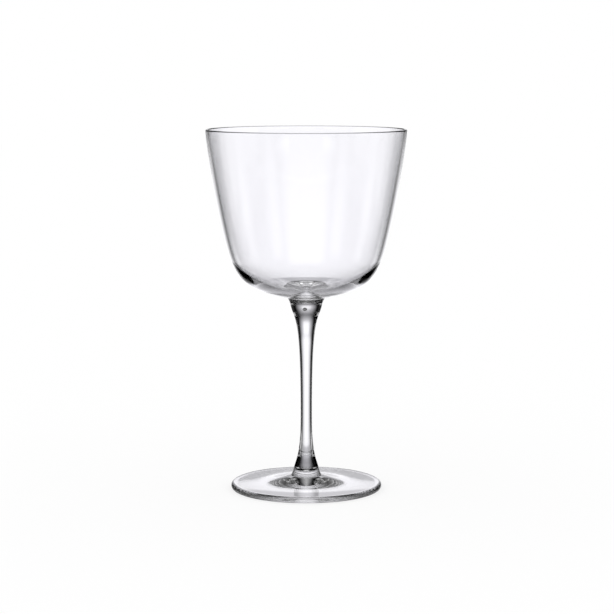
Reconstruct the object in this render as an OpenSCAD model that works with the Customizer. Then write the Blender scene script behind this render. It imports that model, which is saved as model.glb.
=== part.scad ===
// A stemmed cocktail glass, made by hand from three gathers of clear glass:
// a blown bowl, a stem drawn out under it, and a foot worked out of a drop on
// the end of the stem. The gathers are fused hot on two flat seams.
// Lengths are in millimetres. The glass stands on z = 0, centred on the Z axis.

/* [Bowl] */
// Height of the bowl, from its seam on the stem to the lip
bowl_h = 73; // [64:1:82]
// Diameter across the mouth, outside the lip
mouth_d = 83; // [76:1:92]
// Thickness of the wall at the lip
lip_wall = 1.1; // [0.8:0.1:1.6]
// Diameter at the shoulder, where the wall turns in to the base
shoulder_d = 62.8; // [58:0.2:66]
// Height of the shoulder above the seam
shoulder_h = 20.2; // [19:0.2:25]
// Thickness of the wall at the shoulder, measured level
shoulder_wall = 2; // [1.7:0.1:3]
// How far the turn on the inside lies under the shoulder
inner_drop = 1.7; // [0.6:0.1:3]
// Thickness of the glass between the floor of the bowl and the seam
floor_wall = 5.8; // [5.4:0.1:9]
// Diameter of the line where the base of the bowl runs into its neck
neck_d = 18; // [16:0.2:24]
// Height of that line above the seam
neck_h = 3.7; // [2:0.1:4.3]

/* [Stem] */
// Height of the stem, from the seam on the foot to the seam on the bowl
stem_h = 71.5; // [60:0.5:85]
// Diameter of the stem and the neck at the seam on the bowl
collar_d = 13; // [10:0.1:15]
// Diameter at the waist, the thinnest place
waist_d = 4.7; // [4:0.1:7]
// Height of the waist above the seam on the foot
waist_h = 26.3; // [18:0.5:34]
// Diameter at the ankle, where the stem starts to spread on the foot
ankle_d = 10.7; // [9:0.1:12]
// Height of the ankle above the seam on the foot
ankle_h = 2.8; // [1.5:0.1:4]
// Diameter of the stem at the seam on the foot
heel_d = 13; // [12.5:0.1:17]

/* [Foot] */
// Diameter of the foot
foot_d = 63; // [56:0.5:72]
// Thickness of the foot at its round edge
foot_edge = 2.8; // [2:0.1:4.5]
// Height of the stem's seam above the table
foot_h = 5.5; // [4.8:0.1:8]
// Height of the hollow under the middle of the foot
foot_hollow = 1.3; // [0.6:0.1:2.4]
// Width of the flat ring that the foot rests on
rest_ring_w = 1.1; // [0.8:0.1:3]

/* [Slopes] */
// Lean of the wall at the lip, in degrees from upright
lip_lean = 3; // [0:0.5:6]
// Lean of the outside of the wall at the shoulder
shoulder_lean = 19; // [14:0.5:24]
// Lean of the inside of the wall at the shoulder
inner_lean = 24.4; // [21:0.1:30]
// Lean of the base of the bowl where it meets the neck
neck_lean = 76.6; // [73:0.1:80]
// Lean of the stem under the seam on the bowl
collar_lean = 12.5; // [6:0.5:18]
// Lean of the stem at the ankle
ankle_lean = 16; // [10:0.5:24]
// Lean of the stem at the seam on the foot
heel_lean = 39; // [30:1:70]
// Lean of the top of the foot beside the stem
foot_lean = 73; // [68:0.5:86]
// Lean of the hollow under the foot beside the resting ring
hollow_lean = 83.5; // [60:0.5:86]

/* [Hidden] */
// Heights of the two seams, the lip and the lines between the curves
foot_seam_z = foot_h;
bowl_seam_z = foot_seam_z + stem_h;
lip_z = bowl_seam_z + bowl_h;
shoulder_z = bowl_seam_z + shoulder_h;
neck_z = bowl_seam_z + neck_h;
floor_z = bowl_seam_z + floor_wall;
waist_z = foot_seam_z + waist_h;
ankle_z = foot_seam_z + ankle_h;
// A level and an upright direction, as leans
upright = 0;
level = 90;
// Lengths of each curve's two handles, as shares of the straight line between its ends
wall_shares = [0.13, 0.23];
base_shares = [0.42, 0.50];
neck_shares = [0.37, 0.40];
inner_wall_shares = [0.04, 0.15];
shank_shares = [0.14, 0.94];
calf_shares = [0.70, 0.24];
heel_shares = [0.30, 0.35];
foot_top_shares = [0.36, 0.62];
hollow_shares = [0.16, 0.42];
// Lengths of the handles of the base's inside: at the wall as a share of the shoulder's height,
// and at the floor as a share of the neck's diameter, so the inside stays clear of the outside
side_handle_share = 0.6;
floor_handle_share = 0.66;
// Number of straight steps along a curve, and round the axis
curve_steps = 18;
lip_steps = 8;
edge_steps = 12;
round_steps = 96;
glass_colour = [0.86, 0.89, 0.91, 0.45];

// Direction of travel for a lean: 0 runs down, 90 runs in to the axis, and less than 0 runs outwards
function heading(lean) = [-sin(lean), -cos(lean)];

// Point at share t of the curve that leaves a for b and reaches d from c
function along(a, b, c, d, t) =
    a * pow(1 - t, 3) + b * 3 * t * pow(1 - t, 2) + c * 3 * t * t * (1 - t) + d * pow(t, 3);

// Smooth curve from one point to another that leaves and arrives at the given leans
function curve(from, from_lean, to, to_lean, handles) =
    let (
        b = from + heading(from_lean) * handles[0],
        c = to - heading(to_lean) * handles[1]
    )
    [for (i = [0 : curve_steps]) along(from, b, c, to, i / curve_steps)];

// The same curve, with its handles as shares of the straight line between its ends
function sweep(from, from_lean, to, to_lean, shares) =
    curve(from, from_lean, to, to_lean, norm(to - from) * shares);

// Half circle about a centre, from its start angle round to the opposite side
function half_round(centre, radius, start, steps) =
    [for (i = [0 : steps]) let (a = start + 180 * i / steps) centre + radius * [cos(a), sin(a)]];

// The same points without the last one, which the next curve starts on
function open_end(points) = [for (i = [0 : len(points) - 2]) points[i]];
function reversed(points) = [for (i = [len(points) - 1 : -1 : 0]) points[i]];

// Outside of the bowl, from the lip down to the seam
function bowl_outside() =
    let (
        lip = [mouth_d / 2, lip_z - lip_wall / 2],
        shoulder = [shoulder_d / 2, shoulder_z],
        neck = [neck_d / 2, neck_z],
        collar = [collar_d / 2, bowl_seam_z]
    )
    concat(
        open_end(sweep(lip, lip_lean, shoulder, shoulder_lean, wall_shares)),
        open_end(sweep(shoulder, shoulder_lean, neck, neck_lean, base_shares)),
        sweep(neck, neck_lean, collar, collar_lean, neck_shares)
    );

// Inside of the bowl, from the lip down to the floor on the axis
function bowl_inside() =
    let (
        lip = [mouth_d / 2 - lip_wall, lip_z - lip_wall / 2],
        shoulder = [shoulder_d / 2 - shoulder_wall, shoulder_z - inner_drop],
        floor_centre = [0, floor_z],
        handles = [side_handle_share * shoulder_h, floor_handle_share * neck_d]
    )
    concat(
        open_end(sweep(lip, lip_lean, shoulder, inner_lean, inner_wall_shares)),
        curve(shoulder, inner_lean, floor_centre, level, handles)
    );

// Fire-polished lip, from the inside of the wall over to the outside
function lip_round() =
    reversed(half_round([mouth_d / 2 - lip_wall / 2, lip_z - lip_wall / 2], lip_wall / 2, 0, lip_steps));

module turned(outline) {
    rotate_extrude($fn = round_steps) polygon(outline);
}

// Blown bowl with its short neck, thin at the lip and thick in the base
module bowl() {
    color(glass_colour)
    turned(concat(
        bowl_outside(),
        [[0, bowl_seam_z]],
        reversed(bowl_inside()),
        open_end(lip_round())
    ));
}

// Drawn stem, with a flat seam at each end
module stem() {
    collar = [collar_d / 2, bowl_seam_z];
    waist = [waist_d / 2, waist_z];
    ankle = [ankle_d / 2, ankle_z];
    heel = [heel_d / 2, foot_seam_z];
    color(glass_colour)
    turned(concat(
        open_end(sweep(collar, collar_lean, waist, upright, shank_shares)),
        open_end(sweep(waist, upright, ankle, -ankle_lean, calf_shares)),
        sweep(ankle, -ankle_lean, heel, -heel_lean, heel_shares),
        [[0, foot_seam_z], [0, bowl_seam_z]]
    ));
}

// Foot with a low crown, a thick round edge and a shallow hollow inside its resting ring
module foot() {
    edge_r = foot_edge / 2;
    edge_centre = [foot_d / 2 - edge_r, edge_r];
    heel = [heel_d / 2, foot_seam_z];
    ring_inside = [edge_centre[0] - rest_ring_w, 0];
    hollow_top = [0, foot_hollow];
    color(glass_colour)
    turned(concat(
        [[0, foot_seam_z]],
        open_end(sweep(heel, -foot_lean, edge_centre + [0, edge_r], -level, foot_top_shares)),
        reversed(half_round(edge_centre, edge_r, -level, edge_steps)),
        sweep(ring_inside, 180 - hollow_lean, hollow_top, level, hollow_shares)
    ));
}

bowl();
stem();
foot();
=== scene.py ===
"""A hand-made stemmed cocktail glass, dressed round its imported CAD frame."""
import math

import bmesh
import bpy
from bpy.props import FloatProperty, FloatVectorProperty, IntProperty
from mathutils import Matrix, Vector


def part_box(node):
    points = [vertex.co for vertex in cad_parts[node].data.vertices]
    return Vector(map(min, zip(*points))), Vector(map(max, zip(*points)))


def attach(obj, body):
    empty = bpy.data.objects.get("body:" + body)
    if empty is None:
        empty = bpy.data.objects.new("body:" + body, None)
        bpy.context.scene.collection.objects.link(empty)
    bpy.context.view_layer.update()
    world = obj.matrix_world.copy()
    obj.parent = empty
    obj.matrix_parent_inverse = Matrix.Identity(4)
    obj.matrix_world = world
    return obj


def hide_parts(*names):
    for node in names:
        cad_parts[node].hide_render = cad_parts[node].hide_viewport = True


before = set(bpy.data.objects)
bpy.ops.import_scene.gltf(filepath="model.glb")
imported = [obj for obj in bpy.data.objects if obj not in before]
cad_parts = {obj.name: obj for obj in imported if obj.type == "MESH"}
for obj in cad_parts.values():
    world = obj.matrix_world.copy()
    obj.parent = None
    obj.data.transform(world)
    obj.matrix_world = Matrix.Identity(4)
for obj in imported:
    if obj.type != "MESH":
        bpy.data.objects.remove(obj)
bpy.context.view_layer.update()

bl_info = {
    "name": "Stemmed glass",
    "version": (1, 0, 0),
    "blender": (4, 5, 0),
    "location": "3D View > Sidebar > Glass",
    "description": "Builds a hand-made stemmed glass and its studio round a packed CAD frame",
    "category": "Object",
}

MM = 0.001
UPRIGHT = 0.0
LEVEL = math.radians(90)
BODY = "root"
# Points nearer than this are one point
SAME_POINT = 1e-7
# A face whose middle is this near to a seam's height lies in the seam
SEAM_REACH = 1e-6
# An edge bent by more than this is a real corner, and isn't shaded smooth
SHARP_ANGLE = math.radians(11)
BOWL_BOX, STEM_BOX, FOOT_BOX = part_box("bowl"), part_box("stem"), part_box("foot")


def linear(hex_colour):
    """An sRGB hex colour as linear red, green and blue."""
    parts = [int(hex_colour[i:i + 2], 16) / 255 for i in (1, 3, 5)]
    return [p / 12.92 if p <= 0.04045 else ((p + 0.055) / 1.055) ** 2.4 for p in parts]


def length(name, description, millimetres):
    """A length property whose default is given in millimetres."""
    return FloatProperty(name=name, description=description, default=millimetres * MM,
                         unit="LENGTH", precision=5, min=0)


def frame_length(name, description, metres):
    """A length property whose default is read from the frame."""
    return FloatProperty(name=name, description=description, default=metres,
                         unit="LENGTH", precision=5, min=0)


def lean(name, description, degrees):
    """A slope property, measured from upright."""
    return FloatProperty(name=name, description=description, default=math.radians(degrees),
                         unit="ROTATION", subtype="ANGLE")


class BowlSizes(bpy.types.PropertyGroup):
    """Sizes of the blown bowl."""

    mouth_d: frame_length("Mouth", "Diameter across the mouth, outside the lip",
                          BOWL_BOX[1].x - BOWL_BOX[0].x)
    lip_z: frame_length("Lip height", "Height of the lip above the table", BOWL_BOX[1].z)
    seam_z: frame_length("Bowl seam", "Height of the seam on the stem", BOWL_BOX[0].z)
    lip_wall: length("Lip wall", "Thickness of the wall at the lip", 1.1)
    shoulder_d: length("Shoulder", "Diameter where the wall turns in to the base", 62.8)
    shoulder_h: length("Shoulder height", "Height of the shoulder above the seam", 20.2)
    shoulder_wall: length("Shoulder wall", "Thickness of the wall at the shoulder", 2)
    inner_drop: length("Inner drop", "How far the turn inside lies under the shoulder", 1.7)
    floor_wall: length("Floor", "Glass between the floor of the bowl and the seam", 5.8)
    neck_d: length("Neck", "Diameter where the base runs into the neck", 18)
    neck_h: length("Neck height", "Height of that line above the seam", 3.7)
    lip_lean: lean("Lip lean", "Lean of the wall at the lip", 3)
    shoulder_lean: lean("Shoulder lean", "Lean of the outside at the shoulder", 19)
    inner_lean: lean("Inner lean", "Lean of the inside at the shoulder", 24.4)
    neck_lean: lean("Neck lean", "Lean of the base where it meets the neck", 76.6)


class StemSizes(bpy.types.PropertyGroup):
    """Sizes of the drawn stem."""

    top_z: frame_length("Stem top", "Height of the seam under the bowl", STEM_BOX[1].z)
    heel_z: frame_length("Stem bottom", "Height of the seam on the foot", STEM_BOX[0].z)
    collar_d: length("Collar", "Diameter at the seam under the bowl", 13)
    waist_d: length("Waist", "Diameter at the thinnest place", 4.7)
    waist_h: length("Waist height", "Height of the waist above the seam on the foot", 26.3)
    ankle_d: length("Ankle", "Diameter where the stem starts to spread", 10.7)
    ankle_h: length("Ankle height", "Height of the ankle above the seam on the foot", 2.8)
    heel_d: length("Heel", "Diameter at the seam on the foot", 13)
    collar_lean: lean("Collar lean", "Lean of the stem under the bowl", 12.5)
    ankle_lean: lean("Ankle lean", "Lean of the stem at the ankle", 16)
    heel_lean: lean("Heel lean", "Lean of the stem at the seam on the foot", 39)
    bubble_d: length("Bubble", "Width of the air bubble trapped under the seam", 1.0)
    bubble_drop: length("Bubble drop", "Depth of the bubble under the seam", 0.68)


class FootSizes(bpy.types.PropertyGroup):
    """Sizes of the worked foot."""

    foot_d: frame_length("Foot", "Diameter of the foot", FOOT_BOX[1].x - FOOT_BOX[0].x)
    seam_z: frame_length("Foot seam", "Height of the seam under the stem", FOOT_BOX[1].z)
    edge: length("Edge", "Thickness of the foot at its round edge", 2.8)
    hollow: length("Hollow", "Height of the hollow under the middle", 1.3)
    ring_w: length("Resting ring", "Width of the flat ring that the foot rests on", 1.1)
    foot_lean: lean("Foot lean", "Lean of the top beside the stem", 73)
    hollow_lean: lean("Hollow lean", "Lean of the hollow beside the resting ring", 83.5)


# The stem's waves against the bowl's: how many times narrower, their pitch along the stem as a
# share of that across it, and how many times shallower
STEM_WAVES_NARROWER = 3
STEM_WAVES_ALONG = 0.12
STEM_WAVES_SHALLOWER = 8
# Scale that sets the foot's rings about one ripple apart, and how many times shallower they are
FOOT_RING_SCALE = 0.3
FOOT_RINGS_SHALLOWER = 3


class GlassFinish(bpy.types.PropertyGroup):
    """Look of the clear glass."""

    colour: FloatVectorProperty(name="Glass", description="Tint of the clear glass",
                                default=linear("#FEFEFF"), subtype="COLOR", min=0, max=1)
    ior: FloatProperty(name="Index", description="Refractive index of soda-lime glass",
                       default=1.52, min=1, max=2)
    ripple: length("Ripple", "Width of the slow waves that blowing leaves", 14)
    ripple_depth: length("Ripple depth", "Depth of those waves", 0.004)
    steps_round: IntProperty(name="Steps round", description="Steps round the axis",
                             default=256, min=24, max=512)


class StudioSettings(bpy.types.PropertyGroup):
    """Camera, table and the light that the glass sees."""

    distance: length("Camera distance", "Level distance from the glass to the camera", 844.8)
    height: length("Camera height", "Height of the camera above the table", 182.1)
    pitch: lean("Camera pitch", "How far the camera looks down", 7.133)
    lens: FloatProperty(name="Lens", description="Focal length of the camera in millimetres",
                        default=120.2, min=20, max=300)
    light_colour: FloatVectorProperty(name="Light", description="Colour of the soft lights",
                                      default=linear("#FBFAFF"), subtype="COLOR", min=0, max=1)
    table: FloatVectorProperty(name="Table", description="Colour of the pale table",
                               default=linear("#FFFFFF"), subtype="COLOR", min=0, max=1)


# Lengths of each curve's two handles, as shares of the straight line between its ends
WALL_SHARES = (0.13, 0.23)
BASE_SHARES = (0.42, 0.50)
NECK_SHARES = (0.37, 0.40)
INNER_WALL_SHARES = (0.04, 0.15)
SHANK_SHARES = (0.14, 0.94)
CALF_SHARES = (0.70, 0.24)
HEEL_SHARES = (0.30, 0.35)
FOOT_TOP_SHARES = (0.36, 0.62)
HOLLOW_SHARES = (0.16, 0.42)
# Handles of the base's inside: at the wall as a share of the shoulder's height, and at the floor
# as a share of the neck's diameter
SIDE_HANDLE_SHARE = 0.6
FLOOR_HANDLE_SHARE = 0.66
# Straight steps along each curve, close enough that bent light shows none of them
WALL_STEPS, BASE_STEPS, NECK_STEPS, FLOOR_STEPS, LIP_STEPS = 40, 56, 28, 64, 20
SHANK_STEPS, CALF_STEPS, HEEL_STEPS = 80, 56, 16
CROWN_STEPS, EDGE_STEPS = 56, 36


def heading(angle):
    """Direction of travel for a lean: 0 runs down and a quarter turn runs in to the axis."""
    return Vector((-math.sin(angle), -math.cos(angle)))


def curve(start, start_lean, end, end_lean, handles, steps):
    """Points of a smooth curve in the half plane of radius and height, both ends included."""
    a, d = Vector(start), Vector(end)
    b = a + heading(start_lean) * handles[0]
    c = d - heading(end_lean) * handles[1]
    points = []
    for i in range(steps + 1):
        t = i / steps
        s = 1 - t
        points.append(a * s ** 3 + b * 3 * s * s * t + c * 3 * s * t * t + d * t ** 3)
    return points


def sweep(start, start_lean, end, end_lean, shares, steps):
    """The same curve, with its handles as shares of the straight line between its ends."""
    span = (Vector(end) - Vector(start)).length
    return curve(start, start_lean, end, end_lean, [span * share for share in shares], steps)


def half_round(centre, radius, start, steps):
    """Half circle about a centre, anticlockwise from its start angle."""
    return [Vector(centre) + radius * Vector((math.cos(start + math.pi * i / steps),
                                              math.sin(start + math.pi * i / steps)))
            for i in range(steps + 1)]


def join_runs(*runs):
    """One run of points from several, without the points that two runs share."""
    points = list(runs[0])
    for run in runs[1:]:
        points += [p for i, p in enumerate(run) if i or (p - points[-1]).length > SAME_POINT]
    return points


def bowl_profile(s, stem):
    """Outline of the bowl, from the seam's centre up the outside and down the inside."""
    lip = s.lip_z - s.lip_wall / 2
    outer_lip, inner_lip = (s.mouth_d / 2, lip), (s.mouth_d / 2 - s.lip_wall, lip)
    shoulder = (s.shoulder_d / 2, s.seam_z + s.shoulder_h)
    inner_shoulder = (s.shoulder_d / 2 - s.shoulder_wall, shoulder[1] - s.inner_drop)
    neck = (s.neck_d / 2, s.seam_z + s.neck_h)
    collar = (stem.collar_d / 2, s.seam_z)
    outside = join_runs(
        sweep(outer_lip, s.lip_lean, shoulder, s.shoulder_lean, WALL_SHARES, WALL_STEPS),
        sweep(shoulder, s.shoulder_lean, neck, s.neck_lean, BASE_SHARES, BASE_STEPS),
        sweep(neck, s.neck_lean, collar, stem.collar_lean, NECK_SHARES, NECK_STEPS),
    )
    floor_centre = (0, s.seam_z + s.floor_wall)
    handles = (SIDE_HANDLE_SHARE * s.shoulder_h, FLOOR_HANDLE_SHARE * s.neck_d)
    inside = join_runs(
        sweep(inner_lip, s.lip_lean, inner_shoulder, s.inner_lean, INNER_WALL_SHARES, WALL_STEPS),
        curve(inner_shoulder, s.inner_lean, floor_centre, LEVEL, handles, FLOOR_STEPS),
    )
    rim = half_round((s.mouth_d / 2 - s.lip_wall / 2, lip), s.lip_wall / 2, UPRIGHT, LIP_STEPS)
    return join_runs([Vector((0, s.seam_z))], outside[::-1], rim, inside)


def stem_profile(s):
    """Outline of the stem, from the foot's seam up to the bowl's."""
    collar, waist = (s.collar_d / 2, s.top_z), (s.waist_d / 2, s.heel_z + s.waist_h)
    ankle, heel = (s.ankle_d / 2, s.heel_z + s.ankle_h), (s.heel_d / 2, s.heel_z)
    side = join_runs(
        sweep(collar, s.collar_lean, waist, UPRIGHT, SHANK_SHARES, SHANK_STEPS),
        sweep(waist, UPRIGHT, ankle, -s.ankle_lean, CALF_SHARES, CALF_STEPS),
        sweep(ankle, -s.ankle_lean, heel, -s.heel_lean, HEEL_SHARES, HEEL_STEPS),
    )
    return join_runs([Vector((0, s.heel_z))], side[::-1], [Vector((0, s.top_z))])


def foot_profile(s, stem):
    """Outline of the foot, from the hollow's middle out to the edge and in to the seam."""
    edge_r = s.edge / 2
    centre = Vector((s.foot_d / 2 - edge_r, edge_r))
    heel = (stem.heel_d / 2, s.seam_z)
    edge_top = centre + Vector((0, edge_r))
    ring_inside, hollow_top = (centre.x - s.ring_w, 0), (0, s.hollow)
    top = sweep(heel, -s.foot_lean, edge_top, -LEVEL, FOOT_TOP_SHARES, CROWN_STEPS)
    hollow = sweep(ring_inside, math.pi - s.hollow_lean, hollow_top, LEVEL,
                   HOLLOW_SHARES, CROWN_STEPS)
    edge = half_round(centre, edge_r, -LEVEL, EDGE_STEPS)
    return join_runs(hollow[::-1], edge, top[::-1], [Vector((0, s.seam_z))])


def add_node(tree, kind, inputs=None, **settings):
    """Adds a node, applies its settings, and fills or links its inputs by name or number."""
    node = tree.nodes.new(kind)
    for key, value in settings.items():
        setattr(node, key, value)
    for key, value in (inputs or {}).items():
        if isinstance(value, tuple) and isinstance(value[0], bpy.types.Node):
            tree.links.new(value[0].outputs[value[1]], node.inputs[key])
        else:
            node.inputs[key].default_value = value
    return node


def lathe_tree():
    """Geometry Nodes that turn an outline round the Z axis into one closed skin."""
    tree = bpy.data.node_groups.new("turned_glass", "GeometryNodeTree")
    for name, kind in (("Outline", "Geometry"), ("Steps Round", "Int"), ("Low Seam", "Float"),
                       ("High Seam", "Float"), ("Sharp Angle", "Float"),
                       ("Weld Distance", "Float"), ("Glass", "Material"), ("Seam", "Material")):
        tree.interface.new_socket(name, in_out="INPUT", socket_type="NodeSocket" + kind)
    tree.interface.new_socket("Skin", in_out="OUTPUT", socket_type="NodeSocketGeometry")

    given = add_node(tree, "NodeGroupInput")
    count = add_node(tree, "GeometryNodeAttributeDomainSize", {"Geometry": (given, "Outline")})
    columns = add_node(tree, "ShaderNodeMath", {0: (given, "Steps Round"), 1: 1.0},
                       operation="ADD")
    sheet = add_node(tree, "GeometryNodeMeshGrid",
                     {"Vertices X": (columns, 0), "Vertices Y": (count, "Point Count")})
    index = add_node(tree, "GeometryNodeInputIndex")
    row = add_node(tree, "ShaderNodeMath", {0: (index, 0), 1: (count, "Point Count")},
                   operation="FLOORED_MODULO")
    share = add_node(tree, "ShaderNodeMath", {0: (index, 0), 1: (count, "Point Count")},
                     operation="DIVIDE")
    column = add_node(tree, "ShaderNodeMath", {0: (share, 0)}, operation="FLOOR")
    turn = add_node(tree, "ShaderNodeMath", {0: (column, 0), 1: (given, "Steps Round")},
                    operation="DIVIDE")
    angle = add_node(tree, "ShaderNodeMath", {0: (turn, 0), 1: math.tau}, operation="MULTIPLY")
    place = add_node(tree, "GeometryNodeInputPosition")
    sample = add_node(tree, "GeometryNodeSampleIndex",
                      {"Geometry": (given, "Outline")}, data_type="FLOAT_VECTOR")
    tree.links.new(place.outputs[0], sample.inputs["Value"])
    tree.links.new(row.outputs[0], sample.inputs["Index"])
    outline = add_node(tree, "ShaderNodeSeparateXYZ", {0: (sample, 0)})
    cosine = add_node(tree, "ShaderNodeMath", {0: (angle, 0)}, operation="COSINE")
    sine = add_node(tree, "ShaderNodeMath", {0: (angle, 0)}, operation="SINE")
    across = add_node(tree, "ShaderNodeMath", {0: (outline, "X"), 1: (cosine, 0)},
                      operation="MULTIPLY")
    along = add_node(tree, "ShaderNodeMath", {0: (outline, "X"), 1: (sine, 0)},
                     operation="MULTIPLY")
    turned = add_node(tree, "ShaderNodeCombineXYZ",
                      {"X": (across, 0), "Y": (along, 0), "Z": (outline, "Z")})
    skin = add_node(tree, "GeometryNodeSetPosition",
                    {"Geometry": (sheet, "Mesh"), "Position": (turned, 0)})
    welded = add_node(tree, "GeometryNodeMergeByDistance",
                      {"Geometry": (skin, 0), "Distance": (given, "Weld Distance")})
    smooth = add_node(tree, "GeometryNodeSetShadeSmooth", {"Geometry": (welded, 0)},
                      domain="FACE")
    corner = add_node(tree, "GeometryNodeInputMeshEdgeAngle")
    sharp = add_node(tree, "FunctionNodeCompare",
                     {0: (corner, "Unsigned Angle"), 1: (given, "Sharp Angle")},
                     data_type="FLOAT", operation="GREATER_THAN")
    creased = add_node(tree, "GeometryNodeSetShadeSmooth",
                       {"Geometry": (smooth, 0), "Selection": (sharp, 0),
                        "Shade Smooth": False}, domain="EDGE")
    height = add_node(tree, "ShaderNodeSeparateXYZ", {0: (place, 0)})
    at_low, at_high = (
        add_node(tree, "FunctionNodeCompare",
                 {0: (height, "Z"), 1: (given, name), "Epsilon": SEAM_REACH},
                 data_type="FLOAT", operation="EQUAL")
        for name in ("Low Seam", "High Seam"))
    on_seam = add_node(tree, "FunctionNodeBooleanMath", {0: (at_low, 0), 1: (at_high, 0)},
                       operation="OR")
    glazed = add_node(tree, "GeometryNodeSetMaterial",
                      {"Geometry": (creased, 0), "Material": (given, "Glass")})
    seamed = add_node(tree, "GeometryNodeSetMaterial",
                      {"Geometry": (glazed, 0), "Selection": (on_seam, 0),
                       "Material": (given, "Seam")})
    real = add_node(tree, "GeometryNodeRealizeInstances", {"Geometry": (seamed, 0)})
    add_node(tree, "NodeGroupOutput", {"Skin": (real, 0)})
    return tree


def turn_outline(name, points, seams, finish, glass, seam):
    """Turns an outline into a finished piece at the origin."""
    mesh = bpy.data.meshes.new(name + "_outline")
    mesh.from_pydata([(p.x, 0, p.y) for p in points],
                     [(i, i + 1) for i in range(len(points) - 1)], [])
    blank = bpy.data.objects.new(name + "_outline", mesh)
    bpy.context.scene.collection.objects.link(blank)
    lathe = blank.modifiers.new("Lathe", "NODES")
    lathe.node_group = bpy.data.node_groups.get("turned_glass") or lathe_tree()
    sockets = {s.name: s.identifier for s in lathe.node_group.interface.items_tree
               if s.in_out == "INPUT"}
    values = {"Steps Round": finish.steps_round, "Low Seam": seams[0], "High Seam": seams[1],
              "Sharp Angle": SHARP_ANGLE, "Weld Distance": SAME_POINT,
              "Glass": glass, "Seam": seam}
    for key, value in values.items():
        lathe[sockets[key]] = value
    graph = bpy.context.evaluated_depsgraph_get()
    skin = bpy.data.meshes.new_from_object(blank.evaluated_get(graph), depsgraph=graph)
    skin.name = name
    blank.modifiers.remove(lathe)
    bpy.data.objects.remove(blank)
    bpy.data.meshes.remove(mesh)
    piece = bpy.data.objects.new(name, skin)
    bpy.context.scene.collection.objects.link(piece)
    return piece


def clear_glass(name, finish):
    """Soda-lime glass, melted and fire-polished: no colour, a hard shine and bent light."""
    material = bpy.data.materials.new(name)
    material.use_nodes = True
    tree = material.node_tree
    tree.nodes.clear()
    shader = add_node(tree, "ShaderNodeBsdfPrincipled",
                      {"Base Color": (*finish.colour, 1), "Roughness": 0.0, "IOR": finish.ior,
                       "Transmission Weight": 1.0})
    add_node(tree, "ShaderNodeOutputMaterial", {"Surface": (shader, "BSDF")})
    return material, tree, shader


def blown_glass(finish):
    """Blown soda-lime glass: the breath leaves slow waves, which bend straight lines a little."""
    material, tree, shader = clear_glass("blown_glass", finish)
    where = add_node(tree, "ShaderNodeTexCoord")
    waves = add_node(tree, "ShaderNodeTexNoise",
                     {"Vector": (where, "Object"), "Scale": 1 / finish.ripple, "Detail": 1.0})
    bump = add_node(tree, "ShaderNodeBump",
                    {"Height": (waves, "Fac"), "Distance": finish.ripple_depth, "Strength": 1.0})
    tree.links.new(bump.outputs[0], shader.inputs["Normal"])
    return material


def drawn_glass(finish):
    """Glass drawn out by hand: faint long waves run down the stem."""
    material, tree, shader = clear_glass("drawn_glass", finish)
    where = add_node(tree, "ShaderNodeTexCoord")
    stretch = add_node(tree, "ShaderNodeMapping",
                       {"Vector": (where, "Object"), "Scale": (1.0, 1.0, STEM_WAVES_ALONG)})
    waves = add_node(tree, "ShaderNodeTexNoise",
                     {"Vector": (stretch, 0), "Scale": STEM_WAVES_NARROWER / finish.ripple,
                      "Detail": 1.0})
    bump = add_node(tree, "ShaderNodeBump",
                    {"Height": (waves, "Fac"), "Strength": 1.0,
                     "Distance": finish.ripple_depth / STEM_WAVES_SHALLOWER})
    tree.links.new(bump.outputs[0], shader.inputs["Normal"])
    return material


def worked_glass(finish):
    """Glass worked out to a disc on the spinning rod: the tool leaves faint rings."""
    material, tree, shader = clear_glass("worked_glass", finish)
    where = add_node(tree, "ShaderNodeTexCoord")
    rings = add_node(tree, "ShaderNodeTexWave",
                     {"Vector": (where, "Object"), "Scale": FOOT_RING_SCALE / finish.ripple,
                      "Distortion": 1.0, "Detail": 1.0},
                     wave_type="RINGS", rings_direction="Z", wave_profile="SIN")
    bump = add_node(tree, "ShaderNodeBump",
                    {"Height": (rings, "Fac"), "Strength": 1.0,
                     "Distance": finish.ripple_depth / FOOT_RINGS_SHALLOWER})
    tree.links.new(bump.outputs[0], shader.inputs["Normal"])
    return material


def fused_seam(finish):
    """The seam of two hot gathers: the glass is one there, so the joint bends no light."""
    material = bpy.data.materials.get("fused_seam")
    if material is None:
        material, _, shader = clear_glass("fused_seam", finish)
        shader.inputs["Alpha"].default_value = 0.0
    return material


def finish_piece(piece, node):
    """Puts a piece on its body in place of its CAD node."""
    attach(piece, BODY)
    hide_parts(node)


class GLASS_OT_bowl(bpy.types.Operator):
    """Make the blown bowl with its thin lip and thick base"""

    bl_idname = "glass.bowl"
    bl_label = "Bowl"

    def execute(self, context):
        s, stem = context.scene.glass_bowl_sizes, context.scene.glass_stem_sizes
        finish = context.scene.glass_finish
        piece = turn_outline("glass_bowl", bowl_profile(s, stem), (s.seam_z, s.seam_z), finish,
                             blown_glass(finish), fused_seam(finish))
        finish_piece(piece, "bowl")
        return {"FINISHED"}


# Where the trapped bubble lies beside the axis and behind it, its height as a share of its width,
# and its steps
BUBBLE_ASIDE, BUBBLE_BEHIND = -0.32 * MM, 1.5 * MM
BUBBLE_TALLNESS = 1.2
BUBBLE_MERIDIANS, BUBBLE_RINGS = 32, 20


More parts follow.
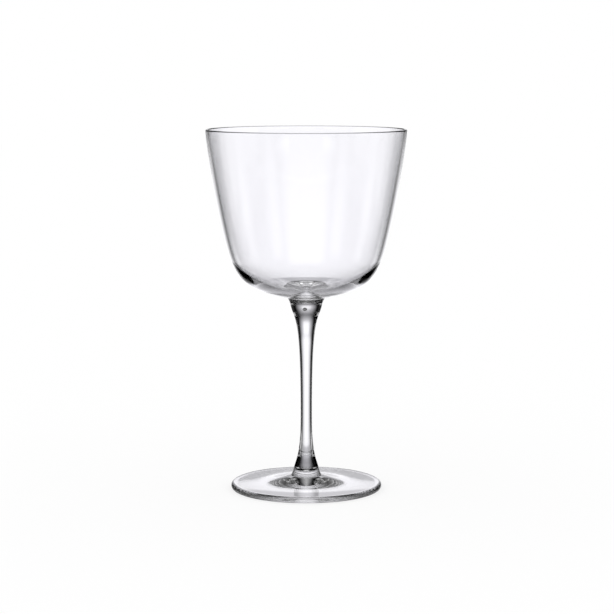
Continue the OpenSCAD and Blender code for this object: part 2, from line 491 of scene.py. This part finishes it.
class GLASS_OT_stem(bpy.types.Operator):
    """Make the drawn stem, with the air bubble trapped under its upper seam"""

    bl_idname = "glass.stem"
    bl_label = "Stem"

    def execute(self, context):
        s, finish = context.scene.glass_stem_sizes, context.scene.glass_finish
        piece = turn_outline("glass_stem", stem_profile(s), (s.heel_z, s.top_z), finish,
                             drawn_glass(finish), fused_seam(finish))
        self.trap_bubble(piece.data, s)
        finish_piece(piece, "stem")
        return {"FINISHED"}

    def trap_bubble(self, mesh, s):
        """Adds the bubble as a closed void, whose faces look into the air inside it."""
        solid = bmesh.new()
        solid.from_mesh(mesh)
        place = (Matrix.Translation((BUBBLE_ASIDE, BUBBLE_BEHIND, s.top_z - s.bubble_drop))
                 @ Matrix.Diagonal((1, 1, BUBBLE_TALLNESS, 1)))
        made = bmesh.ops.create_uvsphere(solid, u_segments=BUBBLE_MERIDIANS,
                                         v_segments=BUBBLE_RINGS, radius=s.bubble_d / 2,
                                         matrix=place)
        faces = {f for v in made["verts"] for f in v.link_faces}
        for face in faces:
            face.smooth = True
        bmesh.ops.reverse_faces(solid, faces=list(faces))
        solid.to_mesh(mesh)
        solid.free()


class GLASS_OT_foot(bpy.types.Operator):
    """Make the worked foot with its crown, round edge and hollow"""

    bl_idname = "glass.foot"
    bl_label = "Foot"

    def execute(self, context):
        s, stem = context.scene.glass_foot_sizes, context.scene.glass_stem_sizes
        finish = context.scene.glass_finish
        piece = turn_outline("glass_foot", foot_profile(s, stem), (s.seam_z, s.seam_z), finish,
                             worked_glass(finish), fused_seam(finish))
        finish_piece(piece, "foot")
        return {"FINISHED"}


def smooth_step(tree, value, start, end):
    """0 before start, 1 after end, and a smooth rise between."""
    return add_node(tree, "ShaderNodeMapRange",
                    {"Value": value, "From Min": start, "From Max": end},
                    interpolation_type="SMOOTHSTEP", clamp=True)


def math_node(tree, operation, *values):
    """A sum of up to three values."""
    return add_node(tree, "ShaderNodeMath", dict(enumerate(values)), operation=operation)


def window(tree, value, start, full, last, end):
    """1 between full and last, and a smooth fall to 0 at start and end."""
    into = smooth_step(tree, (value, 0), start, full)
    out = smooth_step(tree, (value, 0), end, last)
    return math_node(tree, "MULTIPLY", (into, 0), (out, 0))


# Soft lights that the glass sees, in degrees: turn is from straight behind the glass to either
# side, and rise is from level. Each has the four ends of its two soft edges, which are where it
# starts, is full, is full for the last time and ends. Where the edges overlap, it stays dim
SOFT_LIGHTS = (
    {"turn": (37, 124, 39, 126), "rise": (-48, -45, -32, -29), "strength": 0.83},
    {"turn": (-53, -4, -6, 43), "rise": (-21, -18, -3, 0), "strength": 0.89},
    {"turn": (53, 64, 116, 127), "rise": (-19, -16, 11, 15), "strength": 0.59},
    {"turn": (16, 19, 85, 88), "rise": (-32, -29, -20, -17), "strength": 0.18},
    {"turn": (140, 161, 210, 231), "rise": (-46, -37, -6, 3), "strength": 0.89},
    {"turn": (-50, 17, -31, 36), "rise": (21, 24, 137, 140), "strength": 0.78},
    {"turn": (32, 119, 34, 121), "rise": (-31, -28, 20, 23), "strength": 0.25},
    {"turn": (141, 144, 157, 160), "rise": (9, 12, 11, 14), "strength": 1.40},
    {"turn": (-51, -43, 52, 60), "rise": (-71, -68, -65, -62), "strength": 1.44},
)

# Small soft windows in line with the front, the sides, the back, the corners and the top, so that
# the glass looks clear from there too
CLEAR_WAYS = (
    {"turn": (-2, -1, 8, 16), "rise": (-4, 1, 5, 11), "strength": 0.7},
    {"turn": (36, 42, 48, 54), "rise": (-36, -30, -18, -12), "strength": 0.75},
    {"turn": (36, 42, 48, 54), "rise": (-48, -42, -30, -26), "strength": 0.5},
    {"turn": (75, 90, 91, 106), "rise": (-38, -31, 2, 9), "strength": 0.65},
    {"turn": (119, 134, 136, 151), "rise": (-38, -31, 2, 9), "strength": 0.65},
    {"turn": (163, 179, 190, 193), "rise": (-38, -31, 2, 9), "strength": 0.7},
    {"turn": (-1, 0, 190, 200), "rise": (-100, -95, -82, -76), "strength": 1.0},
)

# Panels that the glass sees, in millimetres: a lit one behind it, and a dark flag on either side
# that draws its edges. Each stands at a distance from the glass, turned in degrees from straight
# behind it, and has the same four ends of its soft edges across and up
SOFT_PANELS = (
    {"name": "back_panel", "turn": 0, "distance": 361, "across": (-268, -20, 20, 268),
     "up": (-784, 602, 57, 251), "strength": 1.33},
    {"name": "right_flag", "turn": 90, "distance": 112, "across": (-233, -150, 48, 56),
     "up": (-24, 5, 25, 54), "strength": 0.0},
    {"name": "left_flag", "turn": -90, "distance": 112, "across": (-56, -48, 150, 233),
     "up": (-24, 5, 25, 54), "strength": 0.0},
)


# Half the width of the table, and the share of its white that is a glow of its own, which leaves
# only a soft shadow
TABLE_REACH = 3.0
TABLE_GLOW = 0.75
# How often light may pass through or bounce off the glass before it is given up
LIGHT_BOUNCES, GLOSSY_BOUNCES = 24, 16
# The camera stands a little to the right of the glass
CAMERA_ASIDE = 0.3 * MM
SENSOR_WIDTH = 36.0
NEAREST_SEEN, FURTHEST_SEEN = 0.05, 20.0


class GLASS_OT_stage(bpy.types.Operator):
    """Set the pale table, the studio light round the glass and the camera"""

    bl_idname = "glass.stage"
    bl_label = "Stage"

    def execute(self, context):
        s = context.scene.glass_studio
        self.table(s)
        for panel in SOFT_PANELS:
            self.panel(s, **panel)
        self.surroundings(s)
        self.camera(context.scene, s)
        context.scene.view_settings.view_transform = "Standard"
        cycles = context.scene.cycles
        cycles.use_denoising = True
        cycles.max_bounces = LIGHT_BOUNCES
        cycles.transmission_bounces = LIGHT_BOUNCES
        cycles.glossy_bounces = GLOSSY_BOUNCES
        return {"FINISHED"}

    def plane(self, name, corners):
        """A flat face with the given corners."""
        mesh = bpy.data.meshes.new(name)
        mesh.from_pydata(corners, [], [range(len(corners))])
        made = bpy.data.objects.new(name, mesh)
        bpy.context.scene.collection.objects.link(made)
        return made

    def table(self, s):
        """A white table, seen by the camera, that keeps a soft shadow."""
        near, far = -TABLE_REACH, TABLE_REACH
        table = self.plane("stage_table", [(near, near, 0), (far, near, 0),
                                           (far, far, 0), (near, far, 0)])
        table.visible_glossy = False
        table.visible_transmission = False
        material = bpy.data.materials.new("white_table")
        material.use_nodes = True
        tree = material.node_tree
        tree.nodes.clear()
        paint = add_node(tree, "ShaderNodeBsdfDiffuse", {"Color": (*s.table, 1)})
        lit = add_node(tree, "ShaderNodeEmission", {"Color": (*s.table, 1), "Strength": 1.0})
        mixed = add_node(tree, "ShaderNodeMixShader", {0: TABLE_GLOW, 1: (paint, 0), 2: (lit, 0)})
        add_node(tree, "ShaderNodeOutputMaterial", {"Surface": (mixed, 0)})
        table.data.materials.append(material)

    def panel(self, s, name, turn, distance, across, up, strength):
        """A panel with soft edges, which only the glass sees."""
        turn = math.radians(turn)
        away = Vector((math.sin(turn), math.cos(turn), 0)) * distance * MM
        along = Vector((math.cos(turn), -math.sin(turn), 0))
        corners = [away + along * x * MM + Vector((0, 0, z * MM))
                   for x, z in ((across[0], up[0]), (across[3], up[0]),
                                (across[3], up[3]), (across[0], up[3]))]
        panel = self.plane("stage_" + name, corners)
        panel.visible_camera = False
        panel.visible_diffuse = False
        panel.visible_shadow = False
        panel.data.materials.append(self.lit_panel(s, name, along, across, up, strength))

    def lit_panel(self, s, name, along, across, up, strength):
        """An even glow, or none on a flag, that gives way to clear air at the panel's edges."""
        material = bpy.data.materials.new("lit_" + name)
        material.use_nodes = True
        tree = material.node_tree
        tree.nodes.clear()
        where = add_node(tree, "ShaderNodeTexCoord")
        level = None
        for way, ends in ((tuple(along), across), ((0, 0, 1), up)):
            at = add_node(tree, "ShaderNodeVectorMath", {0: (where, "Object"), 1: way},
                          operation="DOT_PRODUCT")
            inside = window(tree, math_node(tree, "DIVIDE", (at, "Value"), MM), *ends)
            level = inside if level is None else math_node(tree, "MULTIPLY",
                                                           (level, 0), (inside, 0))
        lit = add_node(tree, "ShaderNodeEmission",
                       {"Color": (*s.light_colour, 1), "Strength": strength})
        clear = add_node(tree, "ShaderNodeBsdfTransparent")
        mixed = add_node(tree, "ShaderNodeMixShader",
                         {0: (level, 0), 1: (clear, 0), 2: (lit, 0)})
        add_node(tree, "ShaderNodeOutputMaterial", {"Surface": (mixed, 0)})
        return material

    def surroundings(self, s):
        """White for the camera, plain soft light for paint, and the studio for clear glass."""
        world = bpy.data.worlds.new("studio")
        bpy.context.scene.world = world
        world.use_nodes = True
        world.cycles.sampling_method = "NONE"
        tree = world.node_tree
        tree.nodes.clear()
        where = add_node(tree, "ShaderNodeTexCoord")
        to = add_node(tree, "ShaderNodeSeparateXYZ", {0: (where, "Generated")})
        turn = math_node(tree, "DEGREES", (math_node(tree, "ARCTAN2", (to, "X"), (to, "Y")), 0))
        off = math_node(tree, "ABSOLUTE", (turn, 0))
        rise = math_node(tree, "DEGREES", (math_node(tree, "ARCSINE", (to, "Z")), 0))
        seen = None
        for light in SOFT_LIGHTS + CLEAR_WAYS:
            glow = math_node(tree, "MULTIPLY", (window(tree, off, *light["turn"]), 0),
                             (window(tree, rise, *light["rise"]), 0))
            glow = math_node(tree, "MULTIPLY", (glow, 0), light["strength"])
            seen = glow if seen is None else math_node(tree, "MAXIMUM", (seen, 0), (glow, 0))

        ray = add_node(tree, "ShaderNodeLightPath")
        by_glass = math_node(tree, "MAXIMUM", (ray, "Is Glossy Ray"), (ray, "Is Transmission Ray"))
        choice = add_node(tree, "ShaderNodeMix",
                          {"Factor": (by_glass, 0), "A": 1.0, "B": (seen, 0)}, data_type="FLOAT")
        sky = add_node(tree, "ShaderNodeBackground",
                       {"Color": (1, 1, 1, 1), "Strength": (choice, 0)})
        add_node(tree, "ShaderNodeOutputWorld", {"Surface": (sky, 0)})

    def camera(self, scene, s):
        """A long lens, level with the photograph's in distance and angle."""
        data = bpy.data.cameras.new("camera")
        data.lens = s.lens
        data.sensor_width = SENSOR_WIDTH
        data.clip_start = NEAREST_SEEN
        data.clip_end = FURTHEST_SEEN
        camera = bpy.data.objects.new("camera", data)
        camera.location = (CAMERA_ASIDE, -s.distance, s.height)
        camera.rotation_euler = (math.pi / 2 - s.pitch, 0, 0)
        scene.collection.objects.link(camera)
        scene.camera = camera


class GLASS_PT_panel(bpy.types.Panel):
    """Buttons and sizes of the stemmed glass"""

    bl_label = "Stemmed glass"
    bl_idname = "GLASS_PT_panel"
    bl_space_type = "VIEW_3D"
    bl_region_type = "UI"
    bl_category = "Glass"

    def draw(self, context):
        for operator in OPERATORS:
            self.layout.operator(operator.bl_idname)
        for _, attribute in GROUPS:
            group = getattr(context.scene, attribute)
            box = self.layout.box()
            for key in group.__annotations__:
                box.prop(group, key)


OPERATORS = (GLASS_OT_stage, GLASS_OT_bowl, GLASS_OT_stem, GLASS_OT_foot)
GROUPS = ((BowlSizes, "glass_bowl_sizes"), (StemSizes, "glass_stem_sizes"),
          (FootSizes, "glass_foot_sizes"), (GlassFinish, "glass_finish"),
          (StudioSettings, "glass_studio"))


def register():
    """Adds the sizes, the operators and the panel to Blender."""
    for group, attribute in GROUPS:
        bpy.utils.register_class(group)
        setattr(bpy.types.Scene, attribute, bpy.props.PointerProperty(type=group))
    for operator in OPERATORS:
        bpy.utils.register_class(operator)
    bpy.utils.register_class(GLASS_PT_panel)


def unregister():
    """Takes them out again."""
    bpy.utils.unregister_class(GLASS_PT_panel)
    for operator in reversed(OPERATORS):
        bpy.utils.unregister_class(operator)
    for group, attribute in reversed(GROUPS):
        delattr(bpy.types.Scene, attribute)
        bpy.utils.unregister_class(group)


def main():
    """Makes the stage and the pieces."""
    register()
    for operator in OPERATORS:
        group, name = operator.bl_idname.split(".")
        getattr(getattr(bpy.ops, group), name)()


if __name__ == "__main__":
    main()
